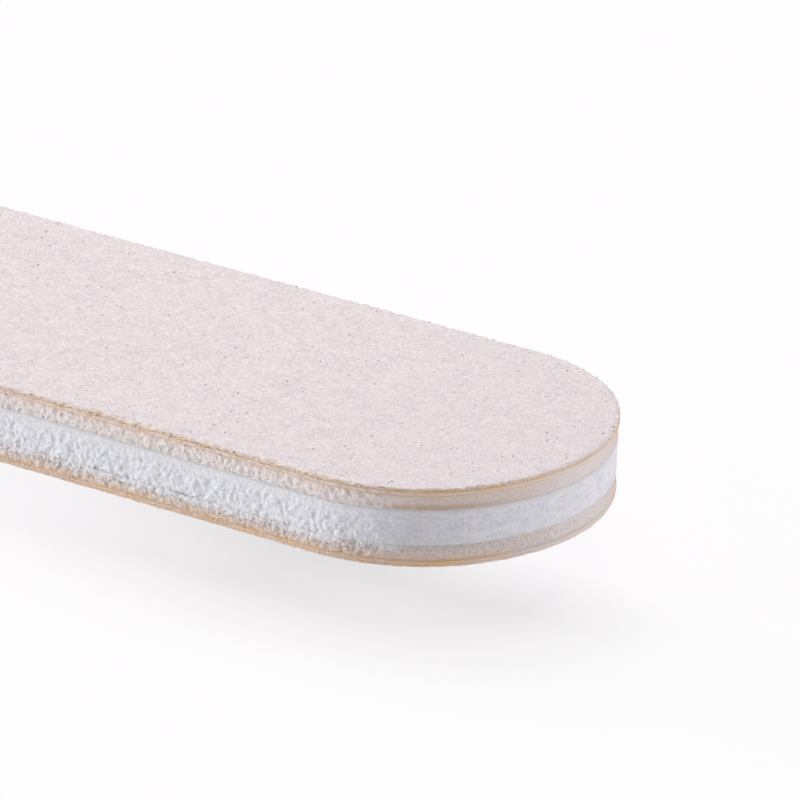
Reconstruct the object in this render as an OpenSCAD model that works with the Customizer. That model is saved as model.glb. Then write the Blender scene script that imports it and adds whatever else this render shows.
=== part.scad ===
// Emery board: a flat, round-ended nail file built up as a laminate.
// A white foam core lies between two beige foam pads, and each pad carries an abrasive sheet of
// backing paper, bonded grit and a pale anti-clog coat. Thin adhesive films join core, pads and sheets.
// The board lies flat: its length is along X, its width along Y, and its underside is at Z = 0.

/* [Board] */
// Length of the board from tip to tip
board_len = 178; // [100:1:220]
// Width of the board across its straight sides
board_w = 20; // [14:0.5:32]
// How much larger the radius of a tip's crown is than half the width
crown_extra_r = 1; // [0.2:0.1:4]
// How much smaller the radius of a tip's corners is than half the width
corner_less_r = 1.5; // [0.5:0.1:4]

/* [Core] */
// Thickness of the foam core
core_t = 1.7; // [0.8:0.1:4]

/* [Foam pads] */
// Thickness of each foam pad
pad_t = 0.72; // [0.3:0.02:1.6]
// How far the pads' cut edge stands back from the board's outline
pad_inset = 0.1; // [0:0.02:0.4]

/* [Adhesive films] */
// Thickness of the film between the core and a pad
inner_film_t = 0.05; // [0.03:0.01:0.2]
// Thickness of the film between a pad and its backing paper
outer_film_t = 0.05; // [0.03:0.01:0.2]
// How far the films' edge stands back from the board's outline
film_inset = 0.16; // [0:0.02:0.5]

/* [Abrasive sheets] */
// Thickness of the backing paper
paper_t = 0.17; // [0.08:0.01:0.5]
// Thickness of the resin with the grit in it
grit_t = 0.11; // [0.05:0.01:0.4]
// How far the grit's broken edge stands back from the paper's edge
grit_inset = 0.04; // [0:0.01:0.3]
// Thickness of the anti-clog coat over the grit
coat_t = 0.05; // [0.02:0.01:0.12]
// How far the coat's edge stands back from the paper's edge
coat_inset = 0.1; // [0:0.01:0.4]

/* [Hidden] */
$fn = 180;

UPPER = 0;
LOWER = 1;

// Each layer starts where the one below it ends, counted outwards from the middle of the core.
inner_film_z = core_t / 2;
pad_z = inner_film_z + inner_film_t;
outer_film_z = pad_z + pad_t;
paper_z = outer_film_z + outer_film_t;
grit_z = paper_z + paper_t;
coat_z = grit_z + grit_t;
mid_z = coat_z + coat_t;

// A tip is one crown arc between two corner arcs, which meet it and the straight sides in a tangent.
crown_r = board_w / 2 + crown_extra_r;
corner_r = board_w / 2 - corner_less_r;
crown_x = board_len / 2 - crown_r;
centre_gap = crown_extra_r + corner_less_r;
corner_x = crown_x + sqrt(centre_gap ^ 2 - corner_less_r ^ 2);
crown_half_angle = asin(corner_less_r / centre_gap);
// The crown's sector is cut with straight lines that end outside its arc.
sector_reach = 2 * crown_r;

// The part of the crown circle between its meeting points with the corner arcs.
module crown_sector(inset) {
    corner = sector_reach * [cos(crown_half_angle), sin(crown_half_angle)];
    translate([crown_x, 0])
        intersection() {
            circle(r = crown_r - inset);
            polygon([[0, 0], [corner.x, -corner.y], [corner.x, corner.y]]);
        }
}

module tip(inset) {
    crown_sector(inset);
    for (side = [-1, 1])
        translate([corner_x, side * corner_less_r])
            circle(r = corner_r - inset);
}

// The board's outline, drawn in evenly by inset.
module outline(inset) {
    square([2 * corner_x, board_w - 2 * inset], center = true);
    for (end = [0, 1])
        mirror([end, 0])
            tip(inset);
}

// One flat layer that starts at height z over the middle of the core.
module layer(z, thickness, inset) {
    translate([0, 0, z])
        linear_extrude(height = thickness)
            outline(inset);
}

// Puts a layer on the upper side of the board, or turned over on the lower side.
module on_face(face) {
    translate([0, 0, mid_z])
        mirror([0, 0, face])
            children();
}

module core_board() {
    color([0.87, 0.87, 0.9])
        translate([0, 0, mid_z])
            layer(-core_t / 2, core_t, 0);
}

module inner_film(face) {
    color([0.74, 0.74, 0.7])
        on_face(face)
            layer(inner_film_z, inner_film_t, film_inset);
}

module foam_pad(face) {
    color([0.8, 0.73, 0.69])
        on_face(face)
            layer(pad_z, pad_t, pad_inset);
}

module outer_film(face) {
    color([0.78, 0.7, 0.6])
        on_face(face)
            layer(outer_film_z, outer_film_t, film_inset);
}

module backing_paper(face) {
    color([0.79, 0.62, 0.42])
        on_face(face)
            layer(paper_z, paper_t, 0);
}

module grit(face) {
    color([0.74, 0.6, 0.46])
        on_face(face)
            layer(grit_z, grit_t, grit_inset);
}

module anti_clog_coat(face) {
    color([0.91, 0.87, 0.87])
        on_face(face)
            layer(coat_z, coat_t, coat_inset);
}

core_board();
inner_film(UPPER);  // upper_inner_film
foam_pad(UPPER);  // upper_foam_pad
outer_film(UPPER);  // upper_outer_film
backing_paper(UPPER);  // upper_backing_paper
grit(UPPER);  // upper_grit
anti_clog_coat(UPPER);  // upper_anti_clog_coat
inner_film(LOWER);  // lower_inner_film
foam_pad(LOWER);  // lower_foam_pad
outer_film(LOWER);  // lower_outer_film
backing_paper(LOWER);  // lower_backing_paper
grit(LOWER);  // lower_grit
anti_clog_coat(LOWER);  // lower_anti_clog_coat
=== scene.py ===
import math
import random

import bpy
import bmesh
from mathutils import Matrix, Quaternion, Vector


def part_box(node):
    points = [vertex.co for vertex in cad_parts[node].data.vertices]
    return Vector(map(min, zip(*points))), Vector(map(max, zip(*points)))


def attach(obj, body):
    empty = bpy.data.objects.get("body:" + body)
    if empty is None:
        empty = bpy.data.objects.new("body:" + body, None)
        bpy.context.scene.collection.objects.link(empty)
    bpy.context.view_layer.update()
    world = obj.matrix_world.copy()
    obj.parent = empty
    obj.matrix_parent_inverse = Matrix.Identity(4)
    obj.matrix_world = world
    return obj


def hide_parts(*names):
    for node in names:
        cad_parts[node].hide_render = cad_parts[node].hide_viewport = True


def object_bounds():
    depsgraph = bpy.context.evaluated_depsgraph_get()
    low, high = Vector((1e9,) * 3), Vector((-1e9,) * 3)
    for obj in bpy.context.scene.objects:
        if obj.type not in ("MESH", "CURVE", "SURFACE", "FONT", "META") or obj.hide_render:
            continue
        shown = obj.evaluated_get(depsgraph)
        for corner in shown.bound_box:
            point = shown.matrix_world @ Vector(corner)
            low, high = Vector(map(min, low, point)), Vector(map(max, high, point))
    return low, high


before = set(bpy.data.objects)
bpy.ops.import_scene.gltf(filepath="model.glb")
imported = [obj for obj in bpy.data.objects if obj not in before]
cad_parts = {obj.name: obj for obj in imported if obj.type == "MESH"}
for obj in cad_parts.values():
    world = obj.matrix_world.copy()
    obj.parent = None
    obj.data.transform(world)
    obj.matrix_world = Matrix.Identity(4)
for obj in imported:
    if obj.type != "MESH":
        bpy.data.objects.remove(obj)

mm = 0.001
cad_low, cad_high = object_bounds()

# Camera
# The photograph is taken through a long lens, from in front of the near long side and to the right of
# the tip, looking down at the last 4 cm of the board.
camera_azimuth = math.radians(31.48)
camera_elevation = math.radians(22.06)
camera_roll = math.radians(2.52)
camera_distance = 378 * mm
aim = Vector((80.2, -2.8, 5.5)) * mm

bpy.ops.object.camera_add()
camera = bpy.context.object
camera.name = "camera"
camera.data.sensor_width = 36
camera.data.lens = 360
camera.data.clip_start = 0.01
camera.data.clip_end = 20
back = Vector((
    math.sin(camera_azimuth) * math.cos(camera_elevation),
    -math.cos(camera_azimuth) * math.cos(camera_elevation),
    math.sin(camera_elevation),
))
camera.location = aim + back * camera_distance
camera.rotation_mode = "QUATERNION"
camera.rotation_quaternion = (-back).to_track_quat("-Z", "Y") @ Quaternion((0, 0, 1), camera_roll)
bpy.context.scene.camera = camera

# Core board
# The stiff middle of the laminate, a sheet of white closed-cell foam. The knife that cuts the long
# sides tears it into granules and drags torn lips down over the pad below, and leaves the tips smooth.
half_length = (cad_high.x - cad_low.x) / 2
half_width = (cad_high.y - cad_low.y) / 2
middle_z = (cad_low.z + cad_high.z) / 2
crown_extra = 1 * mm
corner_less = 1.5 * mm
crown_radius = half_width + crown_extra
corner_radius = half_width - corner_less
crown_x = half_length - crown_radius
corner_x = crown_x + math.sqrt((crown_extra + corner_less) ** 2 - corner_less ** 2)
crown_half_angle = math.asin(corner_less / (crown_extra + corner_less))
torn_until_x = 82.8 * mm
smooth_from_x = 84.8 * mm
torn_depth = 0.3 * mm
level_within = 0.01 * mm
joined_within = 0.001 * mm


def draw_outline(name, inset, z, spacing):
    """One closed line of short edges round the board, drawn in by inset: a long side and the three arcs
    of a tip, spun one after another, and then the other half. The line is left open for editing."""
    bpy.ops.object.select_all(action="DESELECT")
    bpy.ops.mesh.primitive_plane_add(size=mm, location=(-corner_x, half_width - inset, z))
    piece = bpy.context.object
    piece.name = name
    bpy.ops.object.transform_apply(location=True, rotation=True, scale=True)
    bpy.ops.object.mode_set(mode="EDIT")
    bpy.ops.mesh.select_mode(type="VERT")
    bpy.ops.mesh.merge(type="CENTER")
    for end in (1, -1):
        bpy.ops.mesh.extrude_region_move(TRANSFORM_OT_translate={"value": (2 * end * corner_x, 0, 0)})
        corner_turn = math.pi / 2 - crown_half_angle
        for x, y, radius, turn in (
            (end * corner_x, end * corner_less, corner_radius, corner_turn),
            (end * crown_x, 0, crown_radius, 2 * crown_half_angle),
            (end * corner_x, -end * corner_less, corner_radius, corner_turn),
        ):
            bpy.ops.mesh.spin(
                steps=math.ceil(radius * turn / spacing), angle=turn, center=(x, y, z), axis=(0, 0, 1)
            )
    bpy.ops.mesh.select_all(action="SELECT")
    bpy.ops.mesh.remove_doubles(threshold=joined_within)
    # The two long edges are cut into short ones in two rounds.
    cuts = round(math.sqrt(2 * corner_x / spacing)) - 1
    for _ in range(2):
        bpy.ops.mesh.select_all(action="DESELECT")
        mesh = bmesh.from_edit_mesh(piece.data)
        for edge in mesh.edges:
            edge.select = edge.calc_length() > 3 * spacing
        bmesh.update_edit_mesh(piece.data)
        bpy.ops.mesh.select_mode(type="EDGE")
        bpy.ops.mesh.subdivide(number_cuts=cuts)
    bpy.ops.mesh.select_all(action="SELECT")
    return piece


def raise_wall(height, rows):
    """Pulls the line that is open for editing up into a wall."""
    for _ in range(rows):
        bpy.ops.mesh.extrude_region_move(TRANSFORM_OT_translate={"value": (0, 0, height / rows)})
    bpy.ops.object.mode_set(mode="OBJECT")


def weigh(piece, group_name, weight_at):
    """Gives each vertex its weight in a group from its place."""
    group = piece.vertex_groups.new(name=group_name)
    for vertex in piece.data.vertices:
        group.add([vertex.index], min(max(weight_at(vertex.co), 0), 1), "REPLACE")


def displace(piece, group_name, strength, cloud_size=None, depth=1, direction="NORMAL"):
    """Moves a piece's surface as far as its group's weights let it: all one way, or in and out by
    clouds of the given size."""
    move = piece.modifiers.new("Displace", "DISPLACE")
    move.mid_level = 0
    if cloud_size:
        move.texture = bpy.data.textures.new(piece.name + "_clouds", type="CLOUDS")
        move.texture.noise_scale = cloud_size
        move.texture.noise_depth = depth
        move.texture_coords = "LOCAL"
        move.mid_level = 0.5
    move.direction = direction
    move.strength = strength
    move.vertex_group = group_name
    bpy.context.view_layer.objects.active = piece
    bpy.ops.object.modifier_apply(modifier=move.name)


def select_only(piece):
    bpy.ops.object.select_all(action="DESELECT")
    piece.select_set(True)
    bpy.context.view_layer.objects.active = piece


def select_where(piece, passes):
    """Opens a mesh for editing with only those vertices selected whose place passes."""
    select_only(piece)
    bpy.ops.object.mode_set(mode="EDIT")
    bpy.ops.mesh.select_mode(type="VERT")
    bpy.ops.mesh.select_all(action="DESELECT")
    mesh = bmesh.from_edit_mesh(piece.data)
    for vertex in mesh.verts:
        vertex.select = passes(vertex.co)
    mesh.select_flush_mode()
    bmesh.update_edit_mesh(piece.data)


def face_outwards(piece):
    """Turns all faces of the closed piece outwards and shades it smooth."""
    select_only(piece)
    bpy.ops.object.mode_set(mode="EDIT")
    bpy.ops.mesh.select_all(action="SELECT")
    bpy.ops.mesh.normals_make_consistent(inside=False)
    bpy.ops.object.mode_set(mode="OBJECT")
    bpy.ops.object.shade_smooth()


def fade(value, start, end):
    """1 before start, 0 after end, and a soft step between."""
    share = min(max((value - start) / (end - start), 0), 1)
    return 1 - share * share * (3 - 2 * share)


def torn(place):
    """1 on the torn long sides and 0 on the smooth cut of the tips."""
    return fade(abs(place.x), torn_until_x, smooth_from_x)


def cap(piece, z):
    """Closes the open rim of a piece at height z with a fan of faces round one middle point."""
    select_where(piece, lambda place: abs(place.z - z) < level_within)
    bpy.ops.mesh.extrude_region_move()
    bpy.ops.mesh.merge(type="CENTER")
    bpy.ops.object.mode_set(mode="OBJECT")


def distance_in(place):
    """How far a point lies inside the board's outline."""
    x, y = abs(place.x), abs(place.y)
    if x < corner_x:
        return half_width - y
    if math.atan2(y, x - crown_x) < crown_half_angle:
        return crown_radius - math.hypot(x - crown_x, y)
    return corner_radius - math.hypot(x - corner_x, y - corner_less)


def tear(piece):
    """Roughens the long sides of the core, or of what goes along with it, less and less towards the top."""
    weigh(piece, "side", lambda place: torn(place) * (distance_in(place) < torn_depth))
    weigh(piece, "torn", lambda place: (distance_in(place) < torn_depth) * (0.05 + 0.95 * torn(place) * fade(
        place.z, core_low.z + 0.9 * mm, core_high.z - 0.05 * mm)))
    displace(piece, "side", -0.03 * mm)
    displace(piece, "torn", 0.14 * mm, cloud_size=0.36 * mm, depth=2)
    displace(piece, "torn", 0.15 * mm, cloud_size=0.17 * mm)


core_low, core_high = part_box("core_board")
core_inset = 0.1 * mm
core_spacing = 0.075 * mm
lip_height = 0.45 * mm
lip_depth = 0.3 * mm
lip_lean = 0.14 * mm
core_wall = core_high.z - core_low.z + lip_height

# The wall goes on below the core. On the long sides it is a lip that leans in over the pad's edge, and
# at the tips it stands back behind that edge.
core = draw_outline("core_board_foam", core_inset, core_low.z - lip_height, core_spacing)
raise_wall(core_wall, round(core_wall / core_spacing))
weigh(core, "lip", lambda place: (core_low.z + 0.02 * mm - place.z) / lip_height + (
    1 - torn(place)) * (place.z < core_low.z - 0.02 * mm))
displace(core, "lip", -lip_lean)
cap(core, core_high.z)
cap(core, core_low.z - lip_height)
select_where(core, lambda place: place.z < core_low.z - lip_height + level_within)
bpy.ops.mesh.inset(thickness=lip_depth, use_even_offset=False)
bpy.ops.transform.translate(value=(0, 0, lip_height))
bpy.ops.object.mode_set(mode="OBJECT")
tear(core)
face_outwards(core)


def node_adder(tree):
    """Empties a node tree and gives the function that adds nodes to it."""
    tree.nodes.clear()

    def add(kind, sockets=None, **settings):
        """Adds a node. A socket given as another node's socket is linked, any other value is set."""
        node = tree.nodes.new("ShaderNode" + kind)
        for key, value in settings.items():
            setattr(node, key, value)
        for key, value in (sockets or {}).items():
            if isinstance(value, bpy.types.NodeSocket):
                tree.links.new(value, node.inputs[key])
            else:
                node.inputs[key].default_value = value
        return node

    return add


def new_material(name):
    """An empty material, and the function that adds nodes to it."""
    material = bpy.data.materials.new(name)
    material.use_nodes = True
    return material, node_adder(material.node_tree)


def surface(add, color, bump, roughness=0.9, specular=0.2):
    """The shader that ends a material."""
    shader = add("BsdfPrincipled", {
        "Base Color": color, "Normal": bump, "Roughness": roughness, "Specular IOR Level": specular
    })
    add("OutputMaterial", {"Surface": shader.outputs[0]})


def mixed(add, share, first, second):
    """A colour between two others."""
    mix = add("Mix", {0: share, 6: first, 7: second}, data_type="RGBA")
    return mix.outputs[2]


def ramp(add, value, start, end):
    """0 where a value is at start, 1 where it is at end, and held at both outside."""
    return add("MapRange", {"Value": value, "From Min": start, "From Max": end}).outputs[0]


def noise(add, coordinates, size, detail=2.0, low=0.35, high=0.65, distortion=0.0):
    """Soft noise with grains of about the given size, spread over 0 to 1."""
    pattern = add("TexNoise", {
        "Vector": coordinates, "Scale": 1 / size, "Detail": detail, "Distortion": distortion
    })
    return ramp(add, pattern.outputs["Fac"], low, high)


def times(add, share, by):
    """A share made smaller by another share or a number."""
    return add("Math", {0: share, 1: by}, operation="MULTIPLY").outputs[0]


def plus(add, value, other, by=1.0):
    """A value with some part of another one added."""
    return add("Math", {0: other, 1: by, 2: value}, operation="MULTIPLY_ADD").outputs[0]


def rest_of(add, share):
    """What a share leaves of 1."""
    return add("Math", {0: 1, 1: share}, operation="SUBTRACT").outputs[0]


def absolute(add, value):
    return add("Math", {0: value}, operation="ABSOLUTE").outputs[0]


def along(add, place):
    """How far a place lies from the middle of the board towards a tip."""
    return absolute(add, add("SeparateXYZ", {0: place}).outputs[0])


def height_over(add, place, z):
    """How high a place lies over height z."""
    height = add("SeparateXYZ", {0: place}).outputs[2]
    return add("Math", {0: height, 1: z}, operation="SUBTRACT").outputs[0]


def away_from_middle(add, place):
    """How far a place lies over or under the middle of the laminate."""
    return absolute(add, height_over(add, place, middle_z))


def lower_share(add, place):
    """1 under the middle of the laminate and 0 over it."""
    return ramp(add, height_over(add, place, middle_z), 0.1 * mm, -0.1 * mm)


def side_share(add, place):
    """1 on the long sides and 0 at the tips, with a ragged change between."""
    reach = plus(add, along(add, place), noise(add, place, 0.4 * mm), -1.2 * mm)
    return ramp(add, reach, smooth_from_x - 0.8 * mm, torn_until_x - 0.4 * mm)


def fluff_share(add, place):
    """How much torn core foam covers the edge near the lower seam: all of it over the seam, clumps of
    it under the seam, and none further down."""
    over_seam = height_over(add, place, core_low.z)
    clumps = plus(add, over_seam, noise(add, place, 0.13 * mm), 0.30 * mm)
    reach = plus(add, clumps, noise(add, place, 1.3 * mm, detail=1), 0.30 * mm)
    return ramp(add, reach, 0.02 * mm, 0.12 * mm)


def core_foam():
    material, add = new_material("white_core_foam")
    place = add("TexCoord").outputs["Object"]
    on_side = side_share(add, place)
    granules = noise(add, place, 0.12 * mm)
    ridges = noise(add, place, 0.2 * mm, detail=1, low=0.42, high=0.62, distortion=0.6)
    pit_shade = noise(add, place, 0.15 * mm, detail=1, low=0.60, high=0.70)
    upright = add("Mapping", {"Vector": place, "Scale": (1, 1, 0.15)}).outputs[0]
    knife_marks = noise(add, upright, 0.2 * mm, detail=1)
    lengthwise = add("Mapping", {"Vector": place, "Scale": (0.3, 0.3, 1)}).outputs[0]
    streaks = noise(add, lengthwise, 0.25 * mm, low=0.4, high=0.6)

    # The smooth cut shows the knife's marks, and painted shade darkens it where it begins.
    cut = mixed(add, granules, (0.71, 0.70, 0.765, 1), (0.95, 0.93, 1.0, 1))
    cut = mixed(add, times(add, knife_marks, 0.8), cut, (0.77, 0.755, 0.81, 1))
    cut = mixed(add, times(add, streaks, 0.6), cut, (0.935, 0.905, 0.95, 1))
    cut_start_shade = ramp(add, along(add, place), 85.8 * mm, 84.0 * mm)
    cut = mixed(add, times(add, cut_start_shade, 0.45), cut, (0.66, 0.65, 0.69, 1))
    # On the torn side the granules' light and shade is painted into the colour, from near white down to grey
    # along the ridges, and the pits get painted shade.
    side = mixed(add, granules, (0.79, 0.795, 0.87, 1), (0.99, 0.985, 1.0, 1))
    side = mixed(add, times(add, ridges, 0.3), side, (0.80, 0.81, 0.89, 1))
    side = mixed(add, times(add, pit_shade, 0.5), side, (0.66, 0.67, 0.70, 1))
    color = mixed(add, on_side, cut, side)

    # A smooth grey rim is left along the upper seam, and beige crumbs lie near the lower one.
    to_seam = plus(add, height_over(add, place, core_high.z), ridges, 0.12 * mm)
    rim = ramp(add, to_seam, -0.2 * mm, 0.03 * mm)
    color = mixed(add, times(add, rim, 0.7), color, (0.80, 0.80, 0.79, 1))
    bare = rest_of(add, fluff_share(add, place))
    crumbs = mixed(add, granules, (0.54, 0.44, 0.39, 1), (0.89, 0.81, 0.79, 1))
    color = mixed(add, times(add, bare, on_side), color, crumbs)

    relief = plus(add, granules, ridges, -0.5)
    bump = add("Bump", {"Height": times(add, relief, on_side), "Distance": 0.04 * mm, "Strength": 0.25})
    surface(add, color, bump.outputs[0])
    return material


core.data.materials.append(core_foam())
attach(core, "root")
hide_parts("core_board")

# Foam pads
# Beige foam glued to both faces of the core, so that the board gives under the nail. The upper pad is cut
# smooth at the tips. The lower one shows its small cells there, and crumbs of the core on the long sides.
pad_inset = 0.11 * mm
pad_spacing = 0.07 * mm


def cut_foam_pad(node, tip_roughness):
    """One pad of the given node's height, with its cells opened by the knife."""
    low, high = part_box(node)
    pad = draw_outline(node + "_foam", pad_inset, low.z, pad_spacing)
    raise_wall(high.z - low.z, round((high.z - low.z) / pad_spacing))
    weigh(pad, "cells", lambda place: tip_roughness + (1 - tip_roughness) * torn(place))
    displace(pad, "cells", 0.16 * mm, cloud_size=0.3 * mm, depth=2)
    displace(pad, "cells", 0.12 * mm, cloud_size=0.12 * mm)
    cap(pad, low.z)
    cap(pad, high.z)
    face_outwards(pad)
    return pad


def worn_end(add, place):
    """1 at the very end of a tip, where the edges are worn pale and the lower ones most, and 0 elsewhere."""
    reach = plus(add, along(add, place), noise(add, place, 0.7 * mm), 0.8 * mm)
    return ramp(add, plus(add, reach, lower_share(add, place), 1.3 * mm), 88.2 * mm, 90.0 * mm)


def pad_foam(
    name, skin_color, end_color, cell_shade_color, cell_strength, side_color, spot_strength, core_shade_color,
    core_shade_strength, fluffy
):
    """The foam of a pad: cells in a skin where the cut is smooth, with painted shade in the cells, and
    granules with spots and painted highlights where it is torn. The skin changes its colour towards the
    ends, and painted shade darkens the foam along the core. Torn core foam hangs over the long sides of a
    fluffy pad."""
    material, add = new_material(name)
    place = add("TexCoord").outputs["Object"]
    on_side = side_share(add, place)
    cells = noise(add, place, 0.12 * mm)
    patches = noise(add, place, 0.9 * mm)
    brown = noise(add, place, 0.15 * mm, detail=1, low=0.56, high=0.68)
    amber = noise(add, place, 0.17 * mm, detail=1, low=0.58, high=0.68)

    to_end = along(add, place)
    cut = mixed(add, ramp(add, to_end, 83 * mm, 87.5 * mm), skin_color, end_color)
    # Painted shade darkens the open cells of the smooth cut.
    cut = mixed(add, times(add, cells, cell_strength), cut, cell_shade_color)
    cut = mixed(add, times(add, amber, 0.8 * cell_strength), cut, (0.83, 0.66, 0.53, 1))
    # On the torn side the cells are painted up to near white, as highlights on the granules.
    side = mixed(add, cells, side_color, (1.0, 0.96, 0.96, 1))
    side = mixed(add, times(add, brown, spot_strength), side, (0.60, 0.46, 0.38, 1))
    side = mixed(add, times(add, amber, 0.4 * spot_strength), side, (0.84, 0.62, 0.42, 1))
    color = mixed(add, on_side, cut, side)

    # Painted shade darkens the foam along the core before the tips. The foam is paler at their very ends,
    # and stained by the resin along the paper.
    from_middle = away_from_middle(add, place)
    before_tip = ramp(add, to_end, 88.3 * mm, 86.5 * mm)
    core_shade = times(add, ramp(add, from_middle, 1.25 * mm, 1.05 * mm), plus(add, before_tip, on_side, -0.9))
    color = mixed(add, times(add, core_shade, core_shade_strength), color, core_shade_color)
    pale_end = ramp(add, plus(add, to_end, patches, 0.3 * mm), 88.3 * mm, 89.2 * mm)
    color = mixed(add, times(add, pale_end, 0.5), color, (0.89, 0.85, 0.86, 1))
    unworn = rest_of(add, worn_end(add, place))
    torn_paper = times(add, on_side, noise(add, place, 0.35 * mm))
    resin = plus(add, plus(add, 0.2, lower_share(add, place), 0.4), torn_paper, 0.15)
    stained = times(add, unworn, resin)
    stain = times(add, ramp(add, from_middle, 1.25 * mm, 1.70 * mm), stained)
    color = mixed(add, stain, color, (0.93, 0.70, 0.53, 1))
    by_paper = ramp(add, plus(add, from_middle, patches, 0.2 * mm), 1.58 * mm, 1.76 * mm)
    color = mixed(add, times(add, by_paper, stained), color, (0.90, 0.65, 0.44, 1))
    if fluffy:
        fluff = times(add, fluff_share(add, place), on_side)
        color = mixed(add, fluff, color, mixed(add, cells, (0.80, 0.79, 0.83, 1), (0.96, 0.945, 0.96, 1)))

    relief = times(add, plus(add, cells, brown, -0.6), plus(add, on_side, cells, 0.3))
    bump = add("Bump", {"Height": relief, "Distance": 0.04 * mm, "Strength": 0.35})
    surface(add, color, bump.outputs[0])
    return material


upper_pad_foam = pad_foam(
    "upper_pad_foam", skin_color=(0.90, 0.74, 0.67, 1), end_color=(0.86, 0.75, 0.74, 1),
    cell_shade_color=(0.70, 0.55, 0.47, 1), cell_strength=0.65, side_color=(0.83, 0.74, 0.73, 1),
    spot_strength=0.55, core_shade_color=(0.60, 0.46, 0.35, 1), core_shade_strength=0.8, fluffy=False
)
lower_pad_foam = pad_foam(
    "lower_pad_foam", skin_color=(0.99, 0.87, 0.82, 1), end_color=(0.86, 0.80, 0.80, 1),
    cell_shade_color=(0.62, 0.48, 0.42, 1), cell_strength=0.85, side_color=(0.53, 0.43, 0.39, 1),
    spot_strength=0.85, core_shade_color=(0.62, 0.60, 0.585, 1), core_shade_strength=0.45, fluffy=True
)
for node, tip_roughness, foam in (
    ("upper_foam_pad", 0.08, upper_pad_foam), ("lower_foam_pad", 0.45, lower_pad_foam)
):
    pad = cut_foam_pad(node, tip_roughness)
    pad.data.materials.append(foam)
    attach(pad, "root")
    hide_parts(node)

# Adhesive films
# Double-sided tape between core and pads, and between pads and abrasive sheets. Only its edge shows, as
# a thin seam level with the foam. The films on the core tear along with it.


def adhesive():
    material, add = new_material("grey_adhesive")
    place = add("TexCoord").outputs["Object"]
    smears = noise(add, place, 0.3 * mm)
    by_paper = ramp(add, away_from_middle(add, place), 1.2 * mm, 1.4 * mm)
    seam = mixed(add, smears, (0.76, 0.73, 0.71, 1), (0.87, 0.84, 0.83, 1))
    torn_seam = mixed(add, smears, (0.80, 0.80, 0.82, 1), (0.94, 0.94, 0.96, 1))
    seam = mixed(add, side_share(add, place), seam, torn_seam)
    stained = mixed(add, smears, (0.82, 0.60, 0.44, 1), (0.88, 0.74, 0.64, 1))
    stained = mixed(add, worn_end(add, place), stained, (0.84, 0.76, 0.74, 1))
    color = mixed(add, by_paper, seam, stained)
    bump = add("Bump", {"Height": smears, "Distance": 0.01 * mm, "Strength": 0.4})
    surface(add, color, bump.outputs[0], roughness=0.6, specular=0.3)
    return material


tape = adhesive()
for node in ("upper_inner_film", "upper_outer_film", "lower_inner_film", "lower_outer_film"):
    film_low, film_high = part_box(node)
    film = draw_outline(node + "_tape", core_inset, film_low.z, core_spacing)
    raise_wall(film_high.z - film_low.z, rows=1)
    if "inner" in node:
        tear(film)
    cap(film, film_low.z)
    cap(film, film_high.z)
    face_outwards(film)
    bpy.ops.object.shade_flat()
    film.data.materials.append(tape)
    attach(film, "root")
    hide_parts(node)

# Backing papers
# Amber latex-filled paper that carries the grit. Its cut edge is a warm line above the upper pad and
# below the lower one, with a little fuzz of fibres on the long sides.
paper_low, paper_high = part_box("upper_backing_paper")
paper_inset = 0.05 * mm
paper_spacing = 0.08 * mm


def turn_over(piece):
    """Turns an upper piece over about the board's length, for the lower face."""
    select_only(piece)
    bpy.ops.transform.rotate(value=math.pi, orient_axis="X", center_override=(0, 0, middle_z))
    bpy.ops.object.transform_apply(location=True, rotation=True, scale=True)


def cut_paper(name):
    """One paper sheet at the upper face's height."""
    paper = draw_outline(name, paper_inset, paper_low.z, paper_spacing)
    raise_wall(paper_high.z - paper_low.z, rows=3)
    weigh(paper, "fuzz", lambda place: 0.25 + 0.75 * torn(place))
    displace(paper, "fuzz", 0.08 * mm, cloud_size=0.14 * mm, depth=2)
    cap(paper, paper_low.z)
    cap(paper, paper_high.z)
    face_outwards(paper)
    return paper


def amber_paper(name, pale_edge, pad_tone_from):
    """Latex-filled paper, amber from a height over the middle on and toned like the pad nearer to it."""
    material, add = new_material(name)
    place = add("TexCoord").outputs["Object"]
    on_side = side_share(add, place)
    fibres = noise(add, place, 0.12 * mm)
    patches = noise(add, place, 0.5 * mm)
    shreds = noise(add, place, 0.16 * mm)
    bare = noise(add, place, 1.6 * mm, detail=1, low=0.45, high=0.62)
    color = mixed(add, fibres, (0.84, 0.58, 0.41, 1), (0.94, 0.72, 0.57, 1))
    color = mixed(add, times(add, bare, 0.85), color, (0.95, 0.62, 0.32, 1))
    color = mixed(add, times(add, shreds, times(add, on_side, 0.6)), color, (0.60, 0.43, 0.34, 1))
    color = mixed(add, times(add, patches, times(add, on_side, pale_edge)), color, (0.93, 0.84, 0.79, 1))
    reach = plus(add, away_from_middle(add, place), shreds, 0.06 * mm)
    pad_tone = ramp(add, reach, pad_tone_from + 0.05 * mm, pad_tone_from)
    color = mixed(add, times(add, pad_tone, 0.85), color, (0.86, 0.73, 0.68, 1))
    color = mixed(add, times(add, worn_end(add, place), 0.85), color, (0.84, 0.76, 0.74, 1))
    bump = add("Bump", {"Height": fibres, "Distance": 0.03 * mm, "Strength": 0.6})
    surface(add, color, bump.outputs[0], roughness=0.8, specular=0.25)
    return material


upper_paper = cut_paper("upper_paper_sheet")
lower_paper = cut_paper("lower_paper_sheet")
turn_over(lower_paper)
upper_paper.data.materials.append(amber_paper("worn_amber_paper", 0.8, 1.74 * mm))
lower_paper.data.materials.append(amber_paper("amber_paper", 0.25, 1.60 * mm))
for sheet, node in ((upper_paper, "upper_backing_paper"), (lower_paper, "lower_backing_paper")):
    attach(sheet, "root")
    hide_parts(node)

# Grit
# Abrasive grains bonded in amber resin. The layer breaks off unevenly where the board is cut, so grains
# and resin show along the edge under the coat.
grit_low, grit_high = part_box("upper_grit")
grit_inset = 0.07 * mm
grit_spacing = 0.065 * mm
rim_rows = 6
rim_row_width = 0.09 * mm


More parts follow.
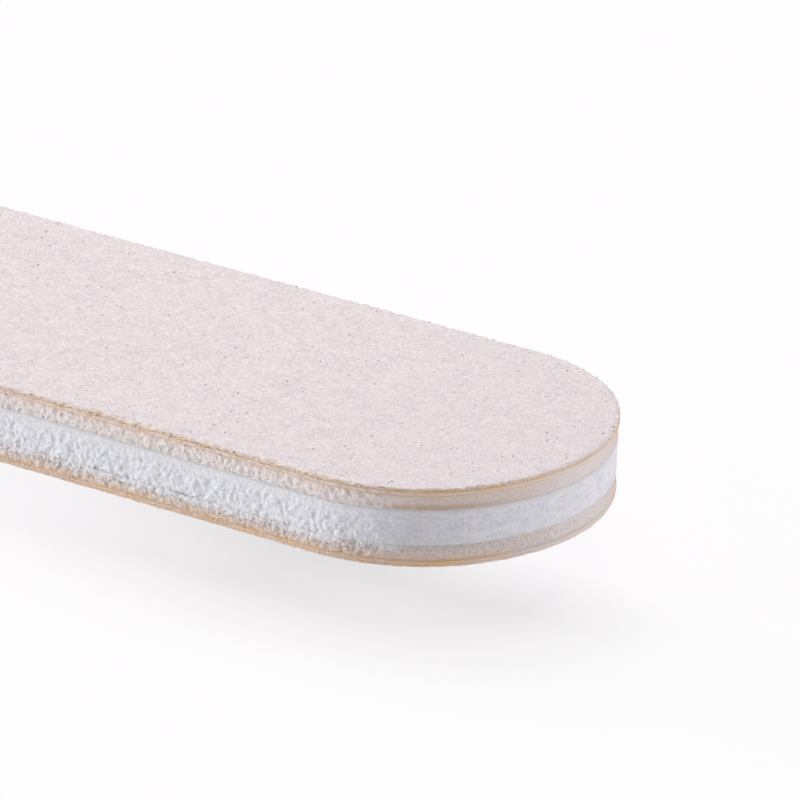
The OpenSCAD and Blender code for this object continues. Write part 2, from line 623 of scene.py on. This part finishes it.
def bonded_layer(name, roughness):
    """The grit layer at the upper face's height, with its edge worn round and broken into grains."""
    grit = draw_outline(name, grit_inset, grit_low.z, grit_spacing)
    raise_wall(grit_high.z - grit_low.z, rows=2)
    cap(grit, grit_high.z)
    select_where(grit, lambda place: place.z > grit_high.z - level_within)
    for _ in range(rim_rows):
        bpy.ops.mesh.inset(thickness=rim_row_width, use_even_offset=False)
    bpy.ops.object.mode_set(mode="OBJECT")
    weigh(grit, "round", lambda place: (place.z > grit_high.z - level_within) * fade(
        distance_in(place), 0, 0.24 * mm))
    weigh(grit, "grains", lambda place: (place.z > grit_low.z + level_within) * (0.45 + 0.55 * torn(place)))
    displace(grit, "round", -0.06 * mm, direction="Z")
    displace(grit, "grains", roughness * 0.09 * mm, cloud_size=0.11 * mm)
    displace(grit, "grains", roughness * 0.06 * mm, cloud_size=0.35 * mm)
    cap(grit, grit_low.z)
    face_outwards(grit)
    return grit


def bonded_grit(name, coated_from):
    """Grit in amber resin, with the coat's powder stuck to its edge from a height over the middle on."""
    material, add = new_material(name)
    place = add("TexCoord").outputs["Object"]
    resin = noise(add, place, 0.3 * mm)
    dark_grains = noise(add, place, 0.12 * mm, detail=1, low=0.60, high=0.68)
    powder = noise(add, place, 0.11 * mm)
    color = mixed(add, resin, (0.86, 0.60, 0.42, 1), (0.95, 0.76, 0.63, 1))
    reach = plus(add, away_from_middle(add, place), noise(add, place, 0.26 * mm), 0.11 * mm)
    pale = mixed(add, powder, (0.76, 0.68, 0.69, 1), (0.92, 0.84, 0.85, 1))
    color = mixed(add, ramp(add, reach, coated_from, coated_from + 0.04 * mm), color, pale)
    color = mixed(add, worn_end(add, place), color, pale)
    color = mixed(add, times(add, dark_grains, 0.45), color, (0.42, 0.36, 0.34, 1))
    bump = add("Bump", {"Height": powder, "Distance": 0.03 * mm, "Strength": 0.6})
    surface(add, color, bump.outputs[0], roughness=0.7, specular=0.3)
    return material


upper_grit = bonded_layer("upper_grit_layer", 1)
lower_grit = bonded_layer("lower_grit_layer", 0.35)
turn_over(lower_grit)
upper_grit.data.materials.append(bonded_grit("coated_grit", 1.97 * mm))
lower_grit.data.materials.append(bonded_grit("bare_grit", 2.04 * mm))
for layer, node in ((upper_grit, "upper_grit"), (lower_grit, "lower_grit")):
    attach(layer, "root")
    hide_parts(node)

# Anti-clog coats
# A pale pinkish powder coat over the grit, which keeps filings off. It takes on the bumps of the grains
# and is chipped along the board's edge, most on the near long side.
coat_low, coat_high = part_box("upper_anti_clog_coat")
coat_inset = 0.1 * mm
coat_spacing = 0.28 * mm
finer_borders = (1.1 * mm, 0.6 * mm)
crease_height = 0.004 * mm
coat_skirt = 0.06 * mm


def powder_coat(name, chips):
    """The coat at the upper face's height, with the given share of the chips along its edge."""
    coat = draw_outline(name, coat_inset, coat_high.z, coat_spacing)
    # The grid of faces that fills the outline has its corners half-way along the corner arcs.
    mesh = bmesh.from_edit_mesh(coat.data)
    diagonal = corner_radius * math.sqrt(0.5)
    corner = Vector((corner_x + diagonal, -corner_less - diagonal, coat_high.z))
    first = min(mesh.verts, key=lambda vertex: (vertex.co - corner).length)
    across = sum(1 for edge in mesh.edges if min(v.co.x for v in edge.verts) > first.co.x - joined_within)
    mesh.select_history.clear()
    mesh.select_history.add(first)
    bpy.ops.mesh.fill_grid(span=across)
    bpy.ops.object.mode_set(mode="OBJECT")
    for border in finer_borders:
        select_where(coat, lambda place: distance_in(place) < border)
        bpy.ops.mesh.subdivide(number_cuts=1)
        bpy.ops.object.mode_set(mode="OBJECT")
    weigh(coat, "surface", lambda place: 1.0)
    weigh(coat, "edge", lambda place: fade(distance_in(place), 0.03 * mm, 0.3 * mm) * (
        0.6 + 0.4 * torn(place)))
    weigh(coat, "rim", lambda place: fade(distance_in(place), 0.12 * mm, 0.4 * mm))
    displace(coat, "surface", 0.05 * mm, cloud_size=0.4 * mm, depth=2, direction="Z")
    displace(coat, "edge", -0.06 * mm, direction="Z")
    displace(coat, "edge", chips * -0.2 * mm, cloud_size=0.22 * mm, depth=2, direction="Z")
    displace(coat, "rim", chips * 0.16 * mm, cloud_size=0.24 * mm, depth=2, direction="X")
    displace(coat, "rim", chips * 0.16 * mm, cloud_size=0.25 * mm, depth=2, direction="Y")
    select_where(coat, lambda place: False)
    bpy.ops.mesh.select_non_manifold()
    # A short first step keeps the face and the skirt from being shaded as one round edge.
    for step in (crease_height, coat_skirt):
        bpy.ops.mesh.extrude_region_move(TRANSFORM_OT_translate={"value": (0, 0, -step)})
    bpy.ops.mesh.extrude_region_move()
    bpy.ops.mesh.merge(type="CENTER")
    bpy.ops.object.mode_set(mode="OBJECT")
    face_outwards(coat)
    return coat


def pale_coat():
    material, add = new_material("pale_pink_coat")
    place = add("TexCoord").outputs["Object"]
    powder = noise(add, place, 0.17 * mm)
    lumps = noise(add, place, 0.31 * mm)
    clouds = noise(add, place, 0.9 * mm)
    by_tip = ramp(add, along(add, place), 70 * mm, 88 * mm)
    specks = noise(add, place, 0.17 * mm, detail=1, low=0, high=1)
    dots = ramp(add, plus(add, specks, by_tip, 0.02), 0.65, 0.74)
    color = mixed(add, powder, (0.70, 0.63, 0.65, 1), (0.985, 0.89, 0.905, 1))
    color = mixed(add, times(add, lumps, 0.9), color, (0.75, 0.67, 0.695, 1))
    color = mixed(add, times(add, clouds, 0.35), color, (0.95, 0.83, 0.82, 1))
    color = mixed(add, times(add, by_tip, 0.2), color, (0.70, 0.62, 0.65, 1))
    color = mixed(add, times(add, dots, 0.65), color, (0.40, 0.37, 0.42, 1))
    # The resin shows through where the coat runs down thin at the edge.
    thin = ramp(add, away_from_middle(add, place), 1.965 * mm, 1.92 * mm)
    upward = add("SeparateXYZ", {0: add("NewGeometry").outputs["True Normal"]}).outputs[2]
    steep = ramp(add, absolute(add, upward), 0.85, 0.55)
    shown = add("Math", {0: thin, 1: steep}, operation="MAXIMUM").outputs[0]
    color = mixed(add, times(add, shown, 0.9), color, (0.97, 0.76, 0.60, 1))
    # Along the near long side the knife has broken off ragged chips of it.
    to_near_side = times(add, add("SeparateXYZ", {0: place}).outputs[1], -1)
    chip_reach = plus(add, to_near_side, noise(add, place, 0.32 * mm), 0.7 * mm)
    chip_reach = plus(add, chip_reach, noise(add, place, 1.4 * mm), 0.4 * mm)
    chipped = ramp(add, chip_reach, half_width + 0.25 * mm, half_width + 0.45 * mm)
    resin = mixed(add, powder, (0.62, 0.49, 0.40, 1), (0.90, 0.76, 0.66, 1))
    color = mixed(add, times(add, chipped, times(add, side_share(add, place), 0.8)), color, resin)
    bump = add("Bump", {"Height": plus(add, powder, lumps), "Distance": 0.04 * mm, "Strength": 0.35})
    surface(add, color, bump.outputs[0])
    return material


powder = pale_coat()
upper_coat = powder_coat("upper_coat", 1)
lower_coat = powder_coat("lower_coat", 0.35)
turn_over(lower_coat)
for layer, node in ((upper_coat, "upper_anti_clog_coat"), (lower_coat, "lower_anti_clog_coat")):
    layer.data.materials.append(powder)
    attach(layer, "root")
    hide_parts(node)

# Standing grains
# Dark grains of grit that stand out of the coat, strewn over each face, and thicker along the upper
# one's edge, where the coat is chipped. One grain is modelled and copied in different sizes and turns.
face_grains = 1500
grain_radius = 0.055 * mm
sunk_on_face = 0.012 * mm
edge_band = (0.12 * mm, 0.3 * mm)
random.seed(11)


def strew_grains(name, edge_grains):
    """Standing grains over a whole face at the upper one's height, and more of them along its edge."""
    bpy.ops.object.select_all(action="DESELECT")
    bpy.ops.mesh.primitive_ico_sphere_add(subdivisions=1, radius=grain_radius)
    grain = bpy.context.object
    bpy.ops.object.mode_set(mode="EDIT")
    bpy.ops.transform.resize(value=(1.0, 0.8, 0.7))
    bpy.ops.object.mode_set(mode="OBJECT")
    grains = []
    while len(grains) < face_grains + edge_grains:
        spot = Vector((random.uniform(-half_length, half_length), random.uniform(-half_width, half_width), 0))
        depth = distance_in(spot)
        at_edge = len(grains) >= face_grains
        if depth < edge_band[0] or (at_edge and depth > edge_band[1]):
            continue
        copy = grain.copy()
        copy.data = grain.data.copy()
        copy.location = (spot.x, spot.y, coat_high.z - (grain_radius if at_edge else sunk_on_face))
        copy.rotation_euler = [random.uniform(0, math.tau) for _ in range(3)]
        copy.scale = [random.uniform(0.6, 1.3)] * 3
        bpy.context.collection.objects.link(copy)
        grains.append(copy)
    bpy.data.objects.remove(grain)
    bpy.ops.object.select_all(action="DESELECT")
    for copy in grains:
        copy.select_set(True)
    bpy.context.view_layer.objects.active = grains[0]
    bpy.ops.object.join()
    strewn = bpy.context.object
    strewn.name = name
    bpy.ops.object.transform_apply(location=True, rotation=True, scale=True)
    return strewn


def dark_grain():
    material, add = new_material("dark_grain")
    place = add("TexCoord").outputs["Object"]
    kind = noise(add, place, 0.5 * mm, detail=0)
    color = mixed(add, kind, (0.16, 0.15, 0.17, 1), (0.50, 0.46, 0.48, 1))
    bump = add("Bump", {"Height": kind, "Distance": 0.01 * mm, "Strength": 0.3})
    surface(add, color, bump.outputs[0], roughness=0.5, specular=0.4)
    return material


dark = dark_grain()
upper_grains = strew_grains("upper_standing_grains", 600)
lower_grains = strew_grains("lower_standing_grains", 0)
turn_over(lower_grains)
for piece in (upper_grains, lower_grains):
    piece.data.materials.append(dark)
    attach(piece, "root")

# Floor
# A wide white table a few millimetres under the board, which only takes its soft shadow.
floor_gap = 3 * mm
shadow_contrast = 0.34
bpy.ops.object.select_all(action="DESELECT")
bpy.ops.mesh.primitive_plane_add(size=6, location=(0, 0, cad_low.z - floor_gap))
floor = bpy.context.object
floor.name = "floor"


def white_table():
    """The table bounces light as plain white. What the camera sees of it is mostly bright by itself, as
    in a photograph with an overexposed background, so that the shadow stays pale. How much of the shadow
    shows is painted in by place: most close to the tip in view, in front of the board."""
    material, add = new_material("white_table")
    seen = add("LightPath").outputs["Is Camera Ray"]
    color = mixed(add, seen, (0.85, 0.85, 0.86, 1), (1.0, 1.0, 1.0, 1))
    lit = add("BsdfDiffuse", {"Color": color})
    bright = add("Emission", {"Color": (1.0, 0.985, 1.0, 1), "Strength": 1.0})
    x, y = add("SeparateXYZ", {0: add("TexCoord").outputs["Object"]}).outputs[:2]
    # How much of the shadow shows is painted in by place.
    near_tip = ramp(add, x, 61 * mm, 76 * mm)
    in_front = times(add, ramp(add, y, 2 * mm, -4 * mm), ramp(add, y, -20 * mm, -9 * mm))
    contrast = times(add, plus(add, 0.3, near_tip, 0.7), plus(add, 0.2, in_front, 0.8))
    own_light = times(add, seen, rest_of(add, times(add, contrast, shadow_contrast)))
    both = add("MixShader", {0: own_light, 1: lit.outputs[0], 2: bright.outputs[0]})
    add("OutputMaterial", {"Surface": both.outputs[0]})
    return material


floor.data.materials.append(white_table())

# Light
# Three large soft lights over and behind the board light its face. Four low ones to its left and right
# light its edge, which stays darkest where it faces the camera.
lit_point = Vector((75, 0, 0)) * mm


def soft_light(name, place, size, power):
    """A square light that points at the part of the board in view."""
    bpy.ops.object.light_add(type="AREA", location=place)
    light = bpy.context.object
    light.name = name
    light.data.shape = "SQUARE"
    light.data.size = size
    light.data.energy = power
    light.rotation_mode = "QUATERNION"
    light.rotation_quaternion = (lit_point - Vector(place)).to_track_quat("-Z", "Y")


soft_light("overhead_light", (-0.05, 0.10, 0.90), 0.9, 2.7)
soft_light("back_light", (-0.1, 0.6, 0.8), 0.7, 2.25)
soft_light("back_left_light", (-0.5, 0.5, 0.6), 0.5, 2.6)
soft_light("left_light", (-1.175, -0.1, 0.3), 0.5, 2.8)
soft_light("front_left_light", (-0.915, -0.66, 0.32), 0.48, 10.2)
soft_light("right_light", (0.6, 0.02, 0.15), 0.25, 0.7)
soft_light("back_right_light", (0.45, 0.45, 0.15), 0.25, 0.88)

# The world fills the shadows a little, and is plain white where it is seen, reflected or seen through.
world = bpy.data.worlds.new("studio")
bpy.context.scene.world = world
world.use_nodes = True
add = node_adder(world.node_tree)
path = add("LightPath").outputs
seen = plus(add, plus(add, path["Is Camera Ray"], path["Is Glossy Ray"]), path["Is Transmission Ray"])
fill = add("Background", {"Color": (0.97, 0.96, 1.0, 1), "Strength": 0.10})
white = add("Background", {"Color": (1, 1, 1, 1), "Strength": 1})
either = add("MixShader", {0: seen, 1: fill.outputs[0], 2: white.outputs[0]})
add("OutputWorld", {"Surface": either.outputs[0]})

bpy.context.scene.view_settings.view_transform = "Standard"
